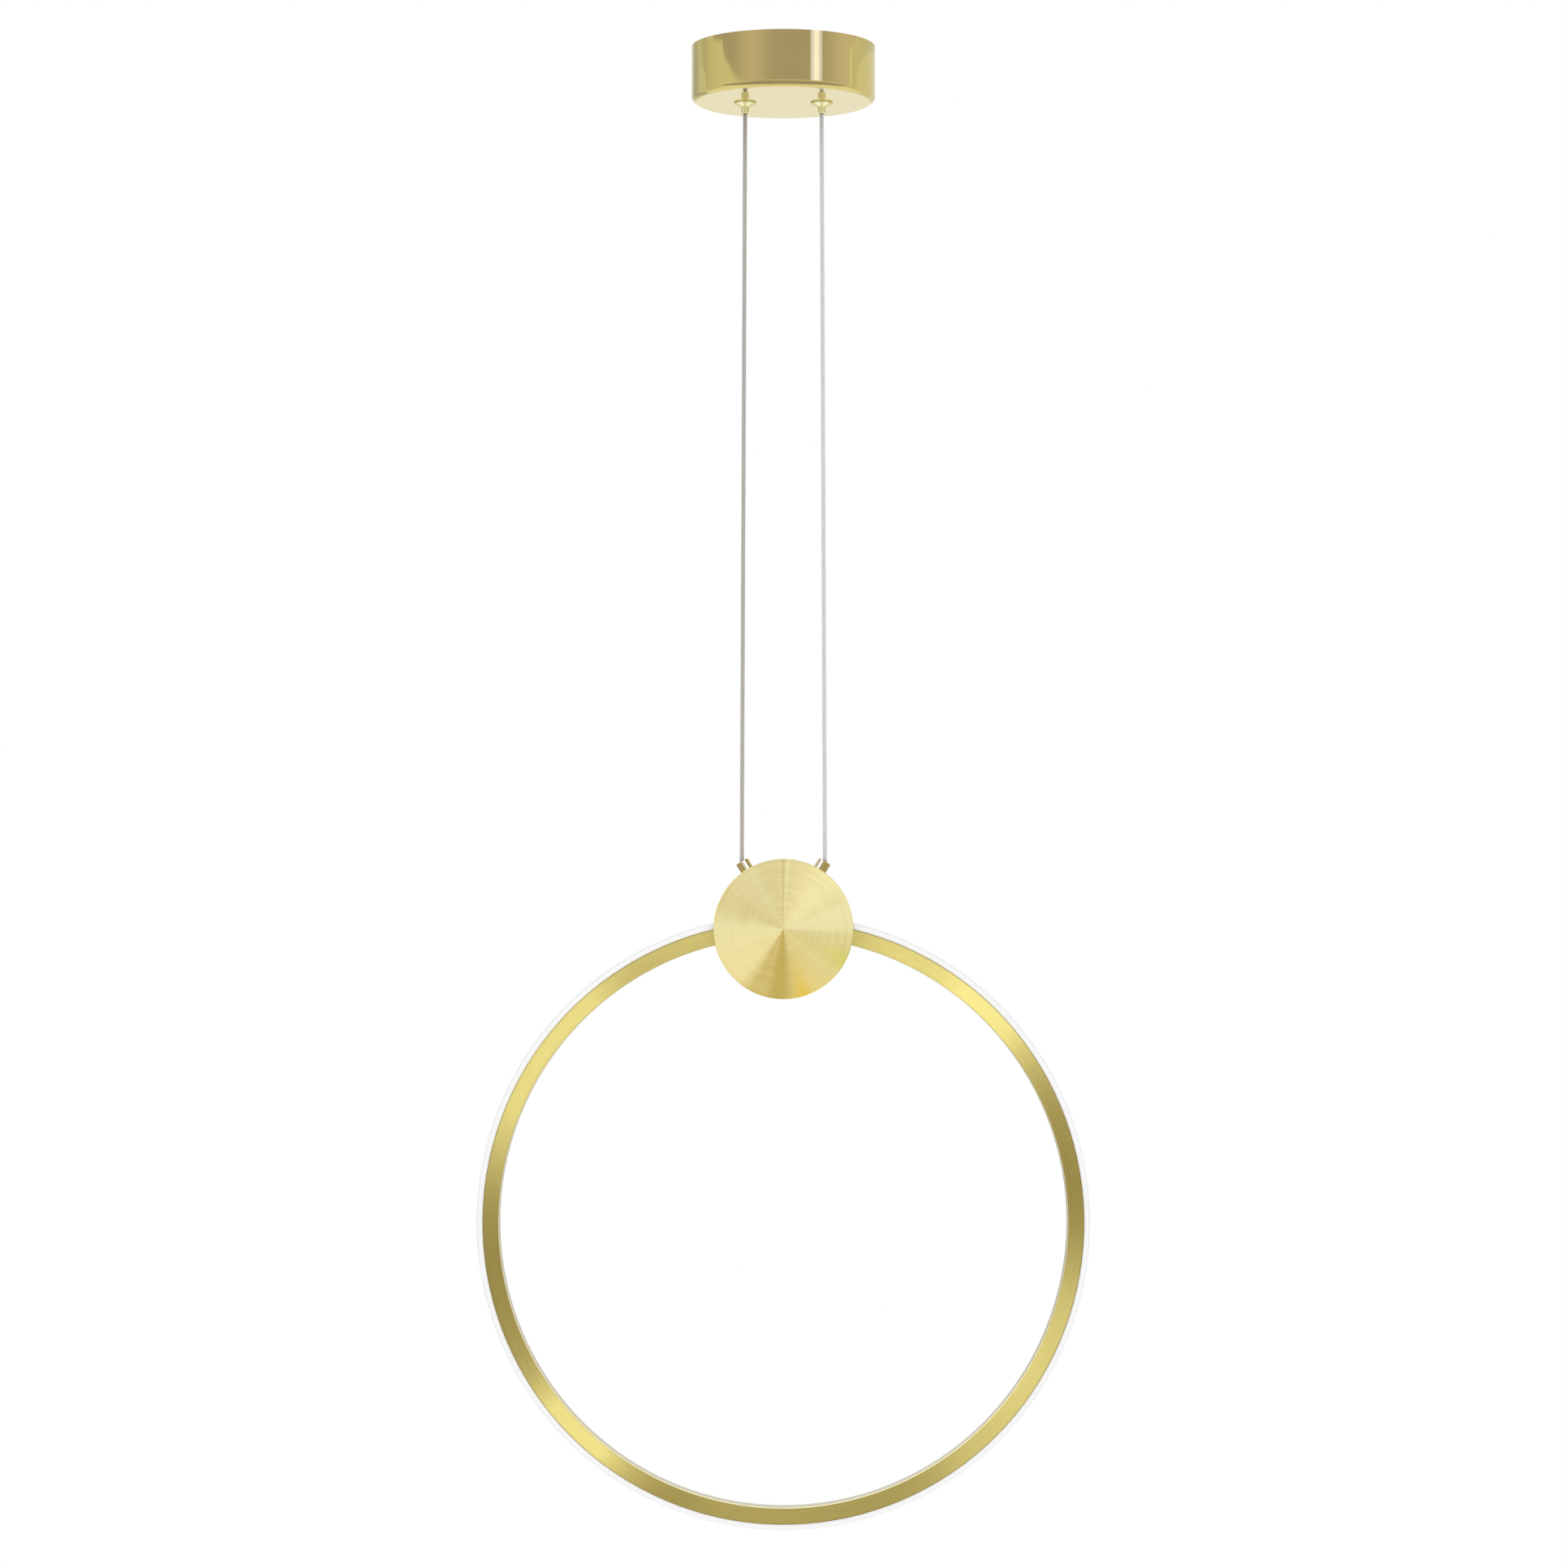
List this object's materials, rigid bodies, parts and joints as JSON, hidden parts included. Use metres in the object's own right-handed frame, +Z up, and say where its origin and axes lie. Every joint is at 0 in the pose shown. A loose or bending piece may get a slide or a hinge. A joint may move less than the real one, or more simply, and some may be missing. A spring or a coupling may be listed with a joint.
{
  "type": "ring pendant light",
  "caption": "Round brass canopy, two taut cables, a round hub and a large slim ring with an opal outer edge; hung from the ceiling",
  "frame": {"origin": "centre of the canopy's rim, where it meets the ceiling", "axes": "+Z up to the ceiling, X left to right across both cables, the shown face looks along -Y"},
  "size_m": [0.5, 0.151, 1.2135],
  "materials": {
    "canopy_brass": "polished sheet brass, lacquered",
    "bracket_steel": "zinc plated",
    "black_steel": "black oxide",
    "brass_screw": "plain brass",
    "green_lead": "wire insulation",
    "block_plastic": "moulded",
    "zinc_steel": "zinc plated",
    "mains_lead": "wire insulation",
    "driver_plastic": "moulded, satin",
    "foam_tape": "foam",
    "gripper_brass": "polished",
    "spring_steel": "bright wire",
    "left_cable_jacket": "jacket over a copper core",
    "right_cable_jacket": "clear jacket over a tinned core",
    "hub_brass": "turned, fine circular brush",
    "fitting_brass": "polished",
    "ferrule_metal": "crimped",
    "splice_plastic": "insulated",
    "led_lead": "wire insulation",
    "bridge_aluminium": "as extruded",
    "ring_brass": "brushed along its length, lacquered",
    "led_board": "white board",
    "led_chip": "phosphor",
    "opal_acrylic": "opal, satin"
  },
  "bodies": {
    "canopy": {"canopy_cup": "canopy_brass", "ceiling_bracket": "bracket_steel", "canopy_set_screws": "black_steel", "earth_screw": "brass_screw", "earth_lead": "green_lead", "terminal_block": "block_plastic", "terminal_clamp_screws": "zinc_steel", "block_screws": "zinc_steel", "mains_leads": "mains_lead", "driver_case": "driver_plastic", "driver_lid": "driver_plastic", "driver_lid_screws": "zinc_steel", "driver_tape": "foam_tape", "gripper_washers": "zinc_steel", "left_gripper_body": "gripper_brass", "right_gripper_body": "gripper_brass", "left_gripper_flange": "gripper_brass", "right_gripper_flange": "gripper_brass", "gripper_caps": "gripper_brass", "left_cable_top": "left_cable_jacket", "right_cable_top": "right_cable_jacket", "left_gripper_spring": "spring_steel", "right_gripper_spring": "spring_steel"},
    "left_nozzle": {"left_gripper_nozzle": "gripper_brass", "left_gripper_balls": "spring_steel"},
    "right_nozzle": {"right_gripper_nozzle": "gripper_brass", "right_gripper_balls": "spring_steel"},
    "suspension": {"left_cable": "left_cable_jacket", "right_cable": "right_cable_jacket"},
    "hub_and_ring": {"hub_shell": "hub_brass", "hub_rear_cover": "hub_brass", "hub_cover_screws": "brass_screw", "left_cable_fitting": "fitting_brass", "right_cable_fitting": "fitting_brass", "fitting_nuts": "zinc_steel", "left_cable_end": "left_cable_jacket", "right_cable_end": "right_cable_jacket", "cable_ferrules": "ferrule_metal", "lead_splices": "splice_plastic", "led_leads": "led_lead", "ring_bridge": "bridge_aluminium", "bridge_bolts": "zinc_steel", "ring_end_screws": "zinc_steel", "ring_channel": "ring_brass", "led_strip": "led_board", "leds": "led_chip", "ring_diffuser": "opal_acrylic"}
  },
  "joints": [
    {"name": "left_nozzle_press", "type": "slide", "parent": "canopy", "child": "left_nozzle", "axis": [0, 0, 1], "range_m": [0, 0.0025], "stiffness_N_per_m": 300, "springref_m": -0.002, "deforming": ["left_gripper_spring"]},
    {"name": "right_nozzle_press", "type": "slide", "parent": "canopy", "child": "right_nozzle", "axis": [0, 0, 1], "range_m": [0, 0.0025], "stiffness_N_per_m": 300, "springref_m": -0.002, "deforming": ["right_gripper_spring"]},
    {"name": "suspension_swing", "type": "hinge", "parent": "canopy", "child": "suspension", "pos_m": [0, 0, -0.0548], "axis": [1, 0, 0], "range_deg": [-20, 20]},
    {"name": "hub_tilt", "type": "hinge", "parent": "suspension", "child": "hub_and_ring", "pos_m": [0, 0, -0.67008], "axis": [1, 0, 0], "range_deg": [-20, 20]}
  ]
}
